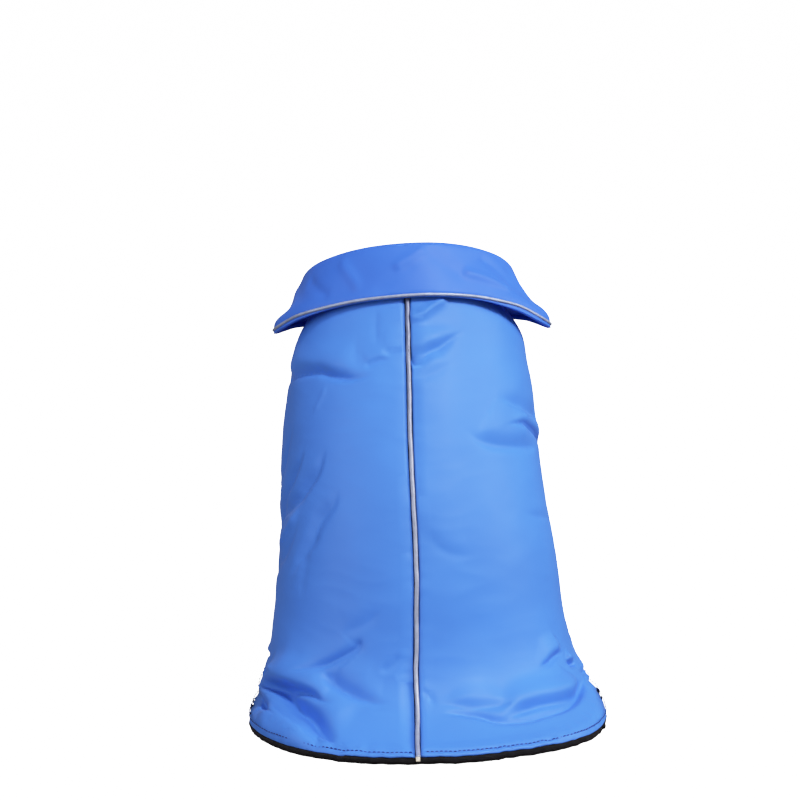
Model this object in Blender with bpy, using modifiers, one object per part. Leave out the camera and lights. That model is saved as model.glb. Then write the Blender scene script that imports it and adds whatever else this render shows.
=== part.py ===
"""Dog jacket as it is worn on a sitting dog: cape cut, lined, with a turned-down collar.

The cloth is laid out in two measures: `turn`, the angle round the body in degrees (0 at the
centre back, positive towards the wearer's right, 180 at the centre front), and `down`, the
distance along the centre back from the neck seam in metres. The origin is the centre of the
neck opening; +Z is up, and the wearer's back faces -Y.
"""
import math
from collections import namedtuple

import bpy
import numpy as np
from mathutils.geometry import delaunay_2d_cdt

# ---- driving dimensions (metres, degrees) ----
BACK_LENGTH = 0.3665        # neck seam to hem along the centre back
SHELL = 0.0015              # nylon and its wadding
FLEECE = 0.0025             # fleece lining
GAP = 0.0003                # between sewn pieces
PIPING_RADIUS = 0.0019      # of the cord in the centre-back seam
EDGE_PIPING_RADIUS = 0.0013  # of the cord round the collar
LINING_REACH = 0.003        # how far the fleece shows past the shell's edges
COLLAR_CLOTH = 0.0024       # collar: nylon, interlining, nylon
COLLAR_FOLD = 0.0038        # radius of the collar's turned-over fold
LIP_TURN = 25               # degrees by which the collar turns in below its piping
SHOULDER_TURN = 84          # turn at which the collar's fall stands out most
SHOULDER_WIDTH = 22         # reach of that flare round the collar, in degrees
FLARE_PLACE = 0.84          # share of the way down the fall at which it rolls outwards
FLARE_REACH = 0.16
COLLAR_FLARE = 0.0042
COLLAR_HOLLOW = 0.0018      # how far the fall dips in above the roll
COLLAR_END = 142            # turn at which the collar's front ends stop
LAP_LIFT = 0.0058           # the left flaps lie this far out over the right ones
LAP_RAMP = (150, 167)       # turns between which the left flaps rise
MESH_SPACING = 0.0135       # between the panels' points on the back
FLAP_SPACING = 0.0180       # the same on the flaps under the body
FLAP_START = 104            # the turn at which the flaps begin
CREASE_SPACING = 0.0095     # between the points along a crease
FLANK = 0.75                # a crease's flank points, as a share of its width
CREASE_ROOM = 0.0045        # least distance between crease points, and to the outline
LATTICE_ROOM = 0.0075       # the same for the other points
DEGREE_WIDTH = 0.0017       # metres of cloth to a degree of turn, on average
NECK_CALM = 0.012           # the creases fade out over this distance from the neck seam
FOLD_TAPER = 0.3            # share of a crease's length over which each end rises
COLLAR_STATIONS = 52        # points round the collar, and along its piping
PIPING_POINTS = 60          # along the centre-back piping

# Rings round the body. slope: of the back below level; tilt: of the ring's plane, falling
# towards the chest; left, right: half widths; depth: half of back to chest; sway: of the
# centre line to the right; square_left, square_right: the ring's corners, 2 is an ellipse.
Section = namedtuple("Section", "down slope tilt left right depth sway square_left square_right")
SECTIONS = (
    Section(0.0000, 60, 30, 0.0680, 0.0690, 0.066, 0.000, 2.15, 2.15),
    Section(0.0225, 60, 30, 0.0835, 0.0858, 0.073, 0.000, 2.15, 2.15),
    Section(0.0435, 60, 30, 0.0890, 0.0905, 0.080, 0.000, 2.15, 2.15),
    Section(0.0845, 61, 29, 0.0960, 0.0955, 0.092, 0.000, 2.15, 2.15),
    Section(0.1295, 64, 26, 0.0990, 0.0985, 0.097, 0.000, 2.15, 2.15),
    Section(0.1745, 68, 22, 0.1010, 0.1025, 0.097, 0.001, 2.15, 2.15),
    Section(0.2195, 73, 17, 0.1050, 0.1065, 0.095, 0.002, 2.15, 2.15),
    Section(0.2595, 76, 12, 0.1075, 0.1110, 0.094, 0.001, 2.15, 2.15),
    Section(0.2945, 66, 8, 0.1110, 0.1190, 0.095, 0.000, 2.15, 2.20),
    Section(0.3195, 44, 5, 0.1170, 0.1290, 0.096, 0.000, 2.10, 2.30),
    Section(0.3445, 24, 2, 0.1215, 0.1360, 0.097, 0.000, 2.05, 2.40),
    Section(0.3665, 12, 0, 0.1240, 0.1390, 0.098, 0.000, 2.00, 2.45),
    Section(0.3785, 8, 0, 0.1250, 0.1400, 0.099, 0.000, 2.00, 2.45),
)

# Creases, each a curved line through three places. height: out of the cloth, negative for a
# trough; width: from its crest to where it has nearly gone.
Fold = namedtuple("Fold", "turn0 down0 turn1 down1 turn2 down2 height width")
FOLDS = (
    # left shoulder: the cloth tucks in and bulges out again below
    Fold(-90, 0.056, -50, 0.066, -17, 0.076, -0.0050, 0.010),
    Fold(-92, 0.078, -52, 0.083, -20, 0.087, 0.0022, 0.014),
    # drag lines from the centre seam to the right shoulder
    Fold(2, 0.037, 12, 0.031, 27, 0.021, -0.0015, 0.007),
    Fold(2, 0.059, 12, 0.051, 26, 0.041, -0.0016, 0.007),
    # right shoulder blade: a ridge, a trough, and the hollow under them
    Fold(38, 0.088, 60, 0.094, 86, 0.102, 0.0022, 0.009),
    Fold(40, 0.104, 62, 0.108, 96, 0.119, -0.0034, 0.008),
    Fold(26, 0.119, 46, 0.127, 72, 0.122, -0.0022, 0.009),
    # left flank: slanting drag lines
    Fold(-76, 0.164, -55, 0.152, -38, 0.130, -0.0018, 0.008),
    Fold(-48, 0.188, -38, 0.176, -30, 0.157, -0.0012, 0.008),
    Fold(-74, 0.200, -63, 0.190, -54, 0.176, -0.0012, 0.008),
    # left rump: the cloth breaks over the seat
    Fold(-33, 0.263, -20, 0.254, -8, 0.244, -0.0013, 0.010),
    Fold(-58, 0.294, -33, 0.286, -18, 0.266, -0.0024, 0.009),
    Fold(-30, 0.298, -19, 0.308, -7, 0.314, -0.0024, 0.010),
    Fold(-100, 0.304, -58, 0.310, -29, 0.313, -0.0060, 0.009),
    Fold(-64, 0.312, -45, 0.335, -31, 0.358, -0.0055, 0.009),
    Fold(-80, 0.322, -62, 0.336, -43, 0.354, 0.0050, 0.014),
    # right rump
    Fold(8, 0.321, 30, 0.334, 58, 0.326, -0.0026, 0.008),
    Fold(52, 0.330, 63, 0.322, 74, 0.308, -0.0028, 0.008),
    Fold(30, 0.325, 43, 0.318, 60, 0.319, -0.0020, 0.007),
    Fold(48, 0.300, 58, 0.293, 68, 0.288, -0.0020, 0.008),
    Fold(3, 0.196, 12, 0.204, 26, 0.210, -0.0011, 0.008),
    # round the chest and the belly, out of sight
    Fold(100, 0.030, 122, 0.054, 142, 0.062, -0.0030, 0.012),
    Fold(-100, 0.027, -120, 0.043, -140, 0.049, -0.0030, 0.012),
    Fold(106, 0.212, 128, 0.218, 146, 0.208, -0.0024, 0.010),
    Fold(-106, 0.236, -126, 0.230, -144, 0.238, -0.0024, 0.010),
)

# The free edge of the right half, from the neck's centre back round its two flaps to the
# hem's centre back. round: how far from the corner its rounding starts.
Corner = namedtuple("Corner", "turn down round")
FREE_EDGE = (
    Corner(188, 0.000, 0.016),   # chest flap
    Corner(188, 0.0975, 0.024),
    Corner(98, 0.1075, 0.026),    # armhole
    Corner(96, 0.2005, 0.026),
    Corner(188, 0.1755, 0.018),   # belly flap
    Corner(188, 0.2655, 0.018),
    Corner(96, 0.2735, 0.018),
    Corner(91, 0.3135, 0.020),    # side of the tail
    Corner(90, BACK_LENGTH, 0.022),
)

# The collar all round. stand: its height to the fold; lean: of the stand, outwards;
# fall: its length from the fold to the piping; spread: of the fall, outwards from the
# neck's axis; lip: the cloth that shows below the piping.
CollarStation = namedtuple("CollarStation", "turn stand lean fall spread lip")
COLLAR = (
    CollarStation(-COLLAR_END, 0.0150, 2, 0.0060, 22, 0.0010),
    CollarStation(-122, 0.0155, 6, 0.0120, 27, 0.0020),
    CollarStation(-104, 0.0175, 12, 0.0250, 29, 0.0020),
    CollarStation(-84, 0.0200, 17, 0.0455, 28, 0.0022),
    CollarStation(-64, 0.0200, 14, 0.0415, 17, 0.0024),
    CollarStation(-50, 0.0195, 8, 0.0395, 11, 0.0015),
    CollarStation(-15, 0.0200, 1, 0.0380, 3, 0.0012),
    CollarStation(15, 0.0215, 1, 0.0380, 3, 0.0012),
    CollarStation(50, 0.0225, 8, 0.0390, 11, 0.0020),
    CollarStation(64, 0.0230, 14, 0.0410, 17, 0.0032),
    CollarStation(84, 0.0225, 18, 0.0500, 30, 0.0024),
    CollarStation(104, 0.0200, 12, 0.0265, 31, 0.0020),
    CollarStation(122, 0.0180, 6, 0.0120, 27, 0.0020),
    CollarStation(COLLAR_END, 0.0165, 2, 0.0060, 22, 0.0010),
)


# ---- the form of the worn cloth ----
def smooth(rows, key, column, at):
    """A column of a table at these values of its key column, as a smooth curve."""
    x = np.array([getattr(row, key) for row in rows], float)
    y = np.array([getattr(row, column) for row in rows], float)
    slope = np.gradient(y, x)
    at = np.clip(at, x[0], x[-1])
    i = np.clip(np.searchsorted(x, at, side="right") - 1, 0, len(x) - 2)
    step = x[i + 1] - x[i]
    t = (at - x[i]) / step
    return ((2 * t**3 - 3 * t**2 + 1) * y[i] + (t**3 - 2 * t**2 + t) * step * slope[i]
            + (3 * t**2 - 2 * t**3) * y[i + 1] + (t**3 - t**2) * step * slope[i + 1])


def section(column, down):
    return smooth(SECTIONS, "down", column, down)


def back_line():
    """The centre back: distances down it, and their Y and Z."""
    down = np.arange(0.0, SECTIONS[-1].down, 0.001)
    slope = np.radians(section("slope", down))
    step = np.diff(down, prepend=0.0)
    tilt = math.radians(SECTIONS[0].tilt)
    start = SECTIONS[0].depth
    y = -start * math.cos(tilt) - np.cumsum(np.cos(slope) * step)
    z = start * math.sin(tilt) - np.cumsum(np.sin(slope) * step)
    return down, y, z


BACK = back_line()


def form(turn, down):
    """The worn shape without creases: a ring in its tilted plane for each distance down."""
    sine = np.sin(np.radians(turn))
    cosine = np.cos(np.radians(turn))
    to_right = sine >= 0
    half = np.where(to_right, section("right", down), section("left", down))
    power = 2 / np.where(to_right, section("square_right", down), section("square_left", down))
    across = half * np.sign(sine) * np.abs(sine) ** power
    forth = section("depth", down) * (1 - np.sign(cosine) * np.abs(cosine) ** power)
    tilt = np.radians(section("tilt", down))
    x = across + section("sway", down)
    y = np.interp(down, BACK[0], BACK[1]) + forth * np.cos(tilt)
    z = np.interp(down, BACK[0], BACK[2]) - forth * np.sin(tilt)
    return np.stack([x, y, z], axis=-1)


def unit(vectors):
    return vectors / np.linalg.norm(vectors, axis=-1, keepdims=True)


def normal(surface, turn, down):
    """The outward normal of a surface given as a function of turn and down."""
    round_step = 1.0
    down_step = 0.002
    along = surface(turn + round_step, down) - surface(turn - round_step, down)
    lengthways = surface(turn, down + down_step) - surface(turn, np.maximum(down - down_step, 0))
    return unit(np.cross(lengthways, along))


def soft_step(value, low, high):
    t = np.clip((value - low) / (high - low), 0, 1)
    return t * t * (3 - 2 * t)


def fold_course(fold, t):
    """The turn and down of a fold's curved line, from its start at t = 0 to its end at 1."""
    start = (1 - t) * (1 - 2 * t)
    middle = 4 * t * (1 - t)
    end = t * (2 * t - 1)
    turn = start * fold.turn0 + middle * fold.turn1 + end * fold.turn2
    down = start * fold.down0 + middle * fold.down1 + end * fold.down2
    return turn, down


def fold_line(fold, count=40):
    """Points on the form along a fold's line, and how much of its height each has."""
    t = np.linspace(0, 1, count)
    taper = soft_step(np.minimum(t, 1 - t), 0, FOLD_TAPER)
    return form(*fold_course(fold, t)), taper


FOLD_LINES = [fold_line(fold) for fold in FOLDS]


def relief(points, down):
    """How far the creases move these points of the form, along its normal."""
    total = np.zeros(points.shape[:-1])
    for fold, (line, taper) in zip(FOLDS, FOLD_LINES):
        apart = np.linalg.norm(points[..., None, :] - line, axis=-1)
        nearest = np.argmin(apart, axis=-1)
        distance = np.min(apart, axis=-1) / fold.width
        total += fold.height * taper[nearest] * np.exp(-2 * distance**2)
    return total * soft_step(down, 0.0, NECK_CALM)


def creased(turn, down):
    """The shell's outer surface, with its creases and its lapped left flaps."""
    turn = np.asarray(turn, float)
    down = np.asarray(down, float)
    plain = form(turn, down)
    out = normal(form, turn, down)
    tilt = np.radians(section("tilt", down))
    zero = np.zeros_like(tilt)
    axis = np.stack([zero, np.sin(tilt), np.cos(tilt)], axis=-1)
    level_out = unit(out - np.sum(out * axis, axis=-1, keepdims=True) * axis)
    lift = LAP_LIFT * soft_step(-turn, *LAP_RAMP)
    return plain + out * relief(plain, down)[..., None] + level_out * lift[..., None]


def cloth(turn, down, out=0.0):
    """A point of the garment, `out` above the shell's outer surface."""
    return creased(turn, down) + normal(creased, turn, down) * out


# ---- pattern outlines, as (turn * DEGREE_WIDTH, -down) in metres ----
def flat(turn, down):
    return np.array([turn * DEGREE_WIDTH, -down])


def seam_turn(down, side):
    """The turn of a half's edge beside the centre-back piping. side: 1 right, -1 left."""
    half = section("right" if side > 0 else "left", down)
    square = section("square_right" if side > 0 else "square_left", down)
    return side * np.degrees(np.arcsin(((PIPING_RADIUS + GAP) / half) ** (square / 2)))


def stretch(start, end, spacing):
    """Points from start towards end, without the end."""
    count = max(1, round(float(np.linalg.norm(end - start)) / spacing))
    return [start + (end - start) * i / count for i in range(count)]


def free_edge(side, spacing=MESH_SPACING, corner_points=4):
    """A half's free edge with rounded corners, from the neck's to the hem's centre back."""
    start = flat(seam_turn(0.0, side), 0.0)
    end = flat(seam_turn(BACK_LENGTH, side), BACK_LENGTH)
    corners = [flat(side * corner.turn, corner.down) for corner in FREE_EDGE]
    before = [start] + corners[:-1]
    after = corners[1:] + [end]
    points = []
    last = start
    for corner, previous, at, following in zip(FREE_EDGE, before, corners, after):
        enter = at + (previous - at) / np.linalg.norm(previous - at) * corner.round
        leave = at + (following - at) / np.linalg.norm(following - at) * corner.round
        points += stretch(last, enter, spacing)
        for i in range(corner_points):
            t = i / corner_points
            points.append((1 - t) ** 2 * enter + 2 * t * (1 - t) * at + t * t * leave)
        last = leave
    points += stretch(last, end, spacing)
    points.append(end)
    return np.array(points)


def half_outline(side):
    """A half's whole outline: its free edge, then up beside the piping."""
    count = round(BACK_LENGTH / MESH_SPACING)
    downs = [BACK_LENGTH * i / count for i in range(count - 1, 0, -1)]
    centre = np.array([flat(seam_turn(down, side), down) for down in downs])
    return np.concatenate([free_edge(side), centre])


def grown(edge, side, reach):
    """The free edge moved outwards, but not at the neck, where the collar joins it."""
    ahead = np.gradient(edge, axis=0)
    outwards = side * unit(np.stack([-ahead[:, 1], ahead[:, 0]], axis=-1))
    share = soft_step(-edge[:, 1], 0.0, NECK_CALM)
    return edge + outwards * reach * share[:, None]


def lining_outline():
    """Both free edges, grown, as one outline."""
    right = grown(free_edge(1), 1, LINING_REACH)
    left = grown(free_edge(-1), -1, LINING_REACH)
    return np.concatenate([right, left[::-1]])


def room_inside(points, loop):
    """The distance from each point to a closed outline, negative outside it."""
    run = np.roll(loop, -1, axis=0) - loop
    offset = points[:, None, :] - loop
    share = np.clip(np.sum(offset * run, -1) / np.sum(run * run, -1), 0, 1)
    near = np.linalg.norm(offset - share[..., None] * run, axis=-1).min(axis=1)
    height = points[:, None, 1]
    spans = (loop[:, 1] > height) != (loop[:, 1] + run[:, 1] > height)
    rise = np.where(run[:, 1] == 0, 1, run[:, 1])
    crossing = loop[:, 0] + (height - loop[:, 1]) * run[:, 0] / rise
    inside = (spans & (points[:, None, 0] < crossing)).sum(axis=1) % 2 == 1
    return np.where(inside, near, -near)


def crease_points():
    """Points along each fold's crest and down its two flanks."""
    points = []
    for fold in FOLDS:
        ends = flat(fold.turn0, fold.down0), flat(fold.turn2, fold.down2)
        count = max(4, round(float(np.linalg.norm(ends[1] - ends[0])) / CREASE_SPACING))
        turn, down = fold_course(fold, np.linspace(0.06, 0.94, count))
        crest = flat(turn, down).T
        across = unit(np.gradient(crest, axis=0))[:, ::-1] * [1, -1]
        for flank in (0, -FLANK, FLANK):
            points.append(crest + across * flank * fold.width)
    return np.concatenate(points)


def lattice(side):
    """Staggered rows of points, close together on the back and wider on the flaps."""
    points = []
    flap = FLAP_START * DEGREE_WIDTH
    for spacing, low, high in ((MESH_SPACING, 0, flap), (FLAP_SPACING, flap, 2 * flap)):
        row_step = spacing * math.sqrt(3) / 2
        for row in range(1, int(BACK_LENGTH / row_step) + 1):
            for column in range(int(2 * flap / spacing) + 1):
                across = spacing * (column + 0.5 * (row % 2))
                if low <= across < high:
                    points.append((side * across, -row * row_step))
    return np.array(points)


def filling(side, outline):
    """The points inside a half: its creases', then the lattice's where there is room."""
    kept = np.empty((0, 2))
    for candidates, apart in ((crease_points(), CREASE_ROOM), (lattice(side), LATTICE_ROOM)):
        for point in candidates[room_inside(candidates, outline) > apart]:
            if np.all(np.linalg.norm(kept - point, axis=1) > apart):
                kept = np.vstack([kept, point])
    return kept


# ---- building ----
def material(name, colour, roughness):
    made = bpy.data.materials.new(name)
    made.use_nodes = True
    shader = made.node_tree.nodes["Principled BSDF"]
    shader.inputs["Base Color"].default_value = (*colour, 1)
    shader.inputs["Roughness"].default_value = roughness
    shader.inputs["Metallic"].default_value = 0
    made.diffuse_color = (*colour, 1)
    return made


def add_object(name, data, finish, group):
    made = bpy.data.objects.new(name, data)
    data.materials.append(finish)
    group.objects.link(made)
    return made


def thicken(piece, thickness, side):
    """Gives a surface its thickness: side -1 inwards, 0 both ways."""
    wall = piece.modifiers.new("thickness", "SOLIDIFY")
    wall.thickness = thickness
    wall.offset = side
    return piece


def triangles(outline, inner_outlines, inside):
    """Triangulates an outline with the points inside it, keeping the inner outlines' edges."""
    points = list(outline)
    edges = []
    for inner in inner_outlines:
        first = len(points)
        edges += [(first + i, first + (i + 1) % len(inner)) for i in range(len(inner))]
        points += list(inner)
    points += list(inside)
    made = delaunay_2d_cdt(points, edges, [list(range(len(outline)))], 1, 1e-6)
    return np.array([tuple(place) for place in made[0]]), made[2]


def panel(name, pattern, under, thickness, finish, group):
    """A sewn panel laid on the worn form, `under` the shell's surface, thickened inwards."""
    places, faces = triangles(*pattern)
    points = creased(places[:, 0] / DEGREE_WIDTH, -places[:, 1])
    mesh = bpy.data.meshes.new(name)
    mesh.from_pydata(points.tolist(), [], faces)
    mesh.shade_smooth()
    piece = add_object(name, mesh, finish, group)
    if under:
        layer = piece.modifiers.new("layer", "DISPLACE")
        layer.mid_level = 0
        layer.strength = -under
    return thicken(piece, thickness, -1)


def collar_frame(turn):
    """At the neck seam: the seam's points, the outward direction and the neck's axis."""
    seam = cloth(turn, np.zeros_like(turn), -(SHELL + GAP + FLEECE) / 2)
    tilt = math.radians(SECTIONS[0].tilt)
    axis = np.array([0, math.sin(tilt), math.cos(tilt)])
    ahead = np.gradient(seam, axis=0)
    out = unit(np.cross(ahead, axis))
    seam = seam - (seam @ axis)[:, None] * axis
    return seam, out, axis


def collar_flare(turn, share):
    """How far the fall stands off its cone at the shoulders, by share of the way down it."""
    side = np.exp(-((turn - SHOULDER_TURN) / SHOULDER_WIDTH) ** 2)
    side += 0.8 * np.exp(-((turn + SHOULDER_TURN) / SHOULDER_WIDTH) ** 2)
    roll = math.exp(-((share - FLARE_PLACE) / FLARE_REACH) ** 2)
    return side * (COLLAR_FLARE * roll - COLLAR_HOLLOW * math.sin(math.pi * share))


def collar_profile(turn, stand_points=4, fold_points=6, fall_points=8):
    """The collar's middle surface in rows from the seam to its edge."""
    seam, out, axis = collar_frame(turn)

    def column(name):
        return smooth(COLLAR, "turn", name, turn)[:, None]

    lean = np.radians(column("lean"))
    spread = np.radians(column("spread"))
    rising = axis * np.cos(lean) + out * np.sin(lean)
    sideways = out * np.cos(lean) - axis * np.sin(lean)
    foot = seam + axis * GAP
    rows = [foot + rising * column("stand") * i / stand_points for i in range(stand_points)]
    centre = foot + rising * column("stand") + sideways * COLLAR_FOLD
    sweep = math.pi - spread - lean
    for i in range(fold_points):
        angle = sweep * i / (fold_points - 1)
        rows.append(centre - sideways * COLLAR_FOLD * np.cos(angle)
                    + rising * COLLAR_FOLD * np.sin(angle))
    falling = out * np.sin(spread) - axis * np.cos(spread)
    facing = out * np.cos(spread) + axis * np.sin(spread)
    top = rows[-1]
    for i in range(1, fall_points + 1):
        share = i / fall_points
        flare = collar_flare(turn, share)[:, None]
        rows.append(top + falling * column("fall") * share + facing * flare)
    edge = rows[-1]
    turned = math.radians(LIP_TURN)
    rows.append(edge + column("lip") * (falling * math.cos(turned) - facing * math.sin(turned)))
    return np.array(rows)


def add_collar(finish, group):
    stations = COLLAR_STATIONS
    turn = np.linspace(-COLLAR_END, COLLAR_END, stations)
    rows = collar_profile(turn)
    count = len(rows)
    faces = [(row * stations + i, row * stations + i + 1,
              (row + 1) * stations + i + 1, (row + 1) * stations + i)
             for row in range(count - 1) for i in range(stations - 1)]
    mesh = bpy.data.meshes.new("collar")
    mesh.from_pydata(rows.reshape(-1, 3).tolist(), [], faces)
    mesh.shade_smooth()
    return thicken(add_object("collar", mesh, finish, group), COLLAR_CLOTH, 0)


def add_piping(name, points, radius, finish, group):
    """A cord through these points."""
    curve = bpy.data.curves.new(name, "CURVE")
    curve.dimensions = "3D"
    curve.bevel_depth = radius
    curve.bevel_resolution = 2
    curve.use_fill_caps = True
    line = curve.splines.new("POLY")
    line.points.add(len(points) - 1)
    for point, place in zip(line.points, points):
        point.co = (*place, 1)
    return add_object(name, curve, finish, group)


def build():
    for old in list(bpy.data.objects):
        bpy.data.objects.remove(old)
    group = bpy.data.collections.new("dog_jacket")
    bpy.context.scene.collection.children.link(group)
    nylon = material("blue_nylon", (0.08, 0.25, 0.75), 0.45)
    fleece = material("black_fleece", (0.012, 0.012, 0.014), 0.95)
    reflective = material("grey_reflective", (0.42, 0.42, 0.42), 0.40)
    collar_nylon = material("collar_nylon", (0.09, 0.27, 0.78), 0.45)
    edge_reflective = material("edge_reflective", (0.50, 0.50, 0.50), 0.40)

    right = half_outline(1)
    left = half_outline(-1)
    inside_right = filling(1, right)
    inside_left = filling(-1, left)
    panel("body_right", (right, [], inside_right), 0.0, SHELL, nylon, group)
    panel("body_left", (left, [], inside_left), 0.0, SHELL, nylon, group)
    inside = np.concatenate([inside_right, inside_left])
    panel("lining", (lining_outline(), [right, left], inside), SHELL + GAP, FLEECE, fleece, group)

    add_collar(collar_nylon, group)
    downs = np.linspace(0.001, BACK_LENGTH, PIPING_POINTS)
    raised = PIPING_RADIUS - SHELL + GAP
    add_piping("piping_back", cloth(np.zeros_like(downs), downs, raised), PIPING_RADIUS,
               reflective, group)
    turn = np.linspace(-COLLAR_END, COLLAR_END, COLLAR_STATIONS)
    above, edge, below = collar_profile(turn)[-3:]
    down = unit(edge - above) + unit(below - edge)
    facing = unit(np.cross(down, np.gradient(edge, axis=0)))
    raised = COLLAR_CLOTH / 2 + GAP + EDGE_PIPING_RADIUS
    add_piping("piping_collar", edge + facing * raised, EDGE_PIPING_RADIUS, edge_reflective, group)


build()
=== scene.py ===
"""Looks of the dog jacket: nylon shell, fleece lining, turned-down collar, pipings, stitches.

The cloth is laid out as its pattern is, in `turn` (degrees round the body, 0 at the centre
back, positive to the wearer's right) and `down` (metres down the centre back from the neck
seam), and is then laid on the worn form. All sizes are in metres unless they say otherwise.
"""
import math
from collections import namedtuple
from itertools import product

import bpy
import numpy as np
from mathutils import Matrix, Vector, kdtree, noise
from mathutils.geometry import delaunay_2d_cdt
from numpy.linalg import norm


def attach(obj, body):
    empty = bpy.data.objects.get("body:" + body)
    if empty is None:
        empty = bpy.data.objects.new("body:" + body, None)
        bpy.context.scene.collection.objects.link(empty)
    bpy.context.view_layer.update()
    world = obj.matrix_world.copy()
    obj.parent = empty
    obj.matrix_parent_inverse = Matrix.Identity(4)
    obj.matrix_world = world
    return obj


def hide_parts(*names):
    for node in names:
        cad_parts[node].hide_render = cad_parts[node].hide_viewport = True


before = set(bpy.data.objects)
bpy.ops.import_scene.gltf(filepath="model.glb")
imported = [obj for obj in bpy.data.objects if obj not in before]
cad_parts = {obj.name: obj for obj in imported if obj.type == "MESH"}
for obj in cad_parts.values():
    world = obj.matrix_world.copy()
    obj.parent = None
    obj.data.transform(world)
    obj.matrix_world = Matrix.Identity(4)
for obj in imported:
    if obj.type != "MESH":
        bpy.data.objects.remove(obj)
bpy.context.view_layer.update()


def table(name, columns, rows, **defaults):
    """Rows with named columns; the defaults are those of the last columns."""
    row_type = namedtuple(name, columns, defaults=defaults.values())
    return [row_type(*row) for row in rows]


# ---- sizes ----
SIDES = (1, -1)  # the right half and the left
BACK_LENGTH = 0.3665  # neck seam to hem along the centre back
SEAM_GAPS = {1: 0.0017, -1: 0.0020}  # from the centre line to the edge of each half
PIPING_RADIUS = 0.0016
EDGE_PIPING_RADIUS = 0.0012
SHELL = 0.0012  # thickness of the nylon and its wadding
UNDER_SHELL = 0.0019  # the fleece's face below the shell's
FLEECE = 0.0030
PRESSED = 0.7  # share of the fleece's thickness that is pressed flat off its edges
LINING_TROUGH = -0.0020  # troughs deeper than this get all the lining's points
LINING_PUSH = 0.75  # how much deeper its troughs are than the shell's, as a share
PUSH_START = 0.0015  # depth of a trough at which that begins
PUSH_RAMP = (0.003, 0.010)  # distances from the edge over which it begins
PRESS_RAMP = (0.003, 0.009)
BEAD_ROOM = 0.006  # distance from the centre seam within which it stays below the ridges
LINING_REACH = 0.0030  # how far the fleece shows past the shell's edges
HEM_INSET = 0.0006  # how much further it shows at the hem
HEM_HITCH = 0.0018  # how far the right half's hem is drawn up
HEM_RAMP = 0.305  # distance down at which the hem begins
COLLAR_CLOTH = 0.0022  # thickness of the collar's two layers
COLLAR_FOLD = 0.0038  # radius of its turned-over fold
LIP_TURN = 25  # degrees by which the collar turns in below its piping
SHOULDER_TURN = 84  # turn at which the collar's fall stands out most
SHOULDER_WIDTH = 22  # reach of that flare round the collar, in degrees
FLARE_PLACE = 0.84  # share of the way down the fall at which it rolls outwards
FLARE_REACH = 0.16
COLLAR_FLARE = 0.0042
LEFT_FLARE = 0.8  # the left shoulder's flare, as a share of the right one's
COLLAR_HOLLOW = 0.0018  # how far the fall dips in above the roll
COLLAR_SPREAD = 26  # degrees round the collar that are as long as its fall
COLLAR_END = 142  # turn at which the collar's front ends stop
LAP_LIFT = 0.0058  # how far out the left flaps lie over the right ones
LAP_RAMP = (150, 167)  # turns between which they rise
DEGREE_WIDTH = 0.0017  # metres of pattern to a degree of turn
FLAP_START = 104  # turn at which the flaps begin
BACK_SPACING = 0.0017  # between mesh points on the back
FLAP_SPACING = 0.0036
EDGE_SPACING = 0.0020
CORNER_POINTS = 12
STITCH_INSET = 0.0052  # the topstitching's distance from the edge
STITCH_POINTS = 5
STITCH_LENGTH = 0.0025
STITCH_PITCH = 0.0032
STITCH_START = 0.004  # from the ends of the line
STITCH_RADIUS = 0.00044
STITCH_LIFT = 0.00042  # how far a stitch's middle stands out of its groove
HANG_ENDS = 0.30  # share of a crease over which what hangs over it begins
CREASE_LIMIT = 0.0088  # how far the creases can move the cloth
CALM = 0.012  # the creases fade out over this distance from the neck seam
SEAM_DEPTH = 0.00215  # how far the collar's foot lies inside the form
BEAD_SINK = 0.0002  # how far the back bead's centre lies inside the form
BEAD_RINGS = 420
COLLAR_COLUMNS = 260
COLLAR_WAVES = 0.0014  # height of the collar's noise
COLLAR_GROOVE = 0.0013  # depth of the groove by its piping
COLLAR_TUCK = 0.0020  # how far its edge lies in at the centre back
TAPE_WIDTH = 0.0030  # the seam tape's end
TAPE_LENGTH = 0.0065
TAPE_THICK = 0.0010
TAPE_OUT = 0.0022  # its middle's distance past the hem, and inside the form
TAPE_DEPTH = 0.0004
FIBRE_PITCH = 0.00016  # length of the fleece's edge that has one fibre
FIBRE_RADIUS = 0.00009
FIBRE_LENGTH = (0.0006, 0.0017)

# ---- the worn form ----
# slope: of the back below level; tilt: of the ring's plane; left, right: half widths; depth:
# half of back to chest; sway: to the right; square_left, square_right: 2 is an ellipse.
SECTIONS = table("Section", "down slope tilt left right depth sway square_left square_right", (
    (0.0000, 60, 30, 0.0680, 0.0690, 0.066, 0.000),
    (0.0225, 60, 30, 0.0835, 0.0858, 0.073, 0.000),
    (0.0435, 60, 30, 0.0890, 0.0905, 0.080, 0.000),
    (0.0845, 61, 29, 0.0960, 0.0955, 0.092, 0.000),
    (0.1295, 64, 26, 0.0990, 0.0985, 0.097, 0.000),
    (0.1745, 68, 22, 0.1010, 0.1025, 0.097, 0.001),
    (0.2195, 73, 17, 0.1050, 0.1065, 0.095, 0.002),
    (0.2595, 76, 12, 0.1075, 0.1110, 0.094, 0.001),
    (0.2945, 66, 8, 0.1110, 0.1190, 0.095, 0.000, 2.15, 2.20),
    (0.3195, 44, 5, 0.1170, 0.1290, 0.096, 0.000, 2.10, 2.30),
    (0.3445, 24, 2, 0.1215, 0.1360, 0.097, 0.000, 2.05, 2.40),
    (0.3665, 12, 0, 0.1240, 0.1390, 0.098, 0.000, 2.00, 2.45),
    (0.3785, 8, 0, 0.1250, 0.1400, 0.099, 0.000, 2.00, 2.45),
), square_left=2.15, square_right=2.15)

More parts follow.
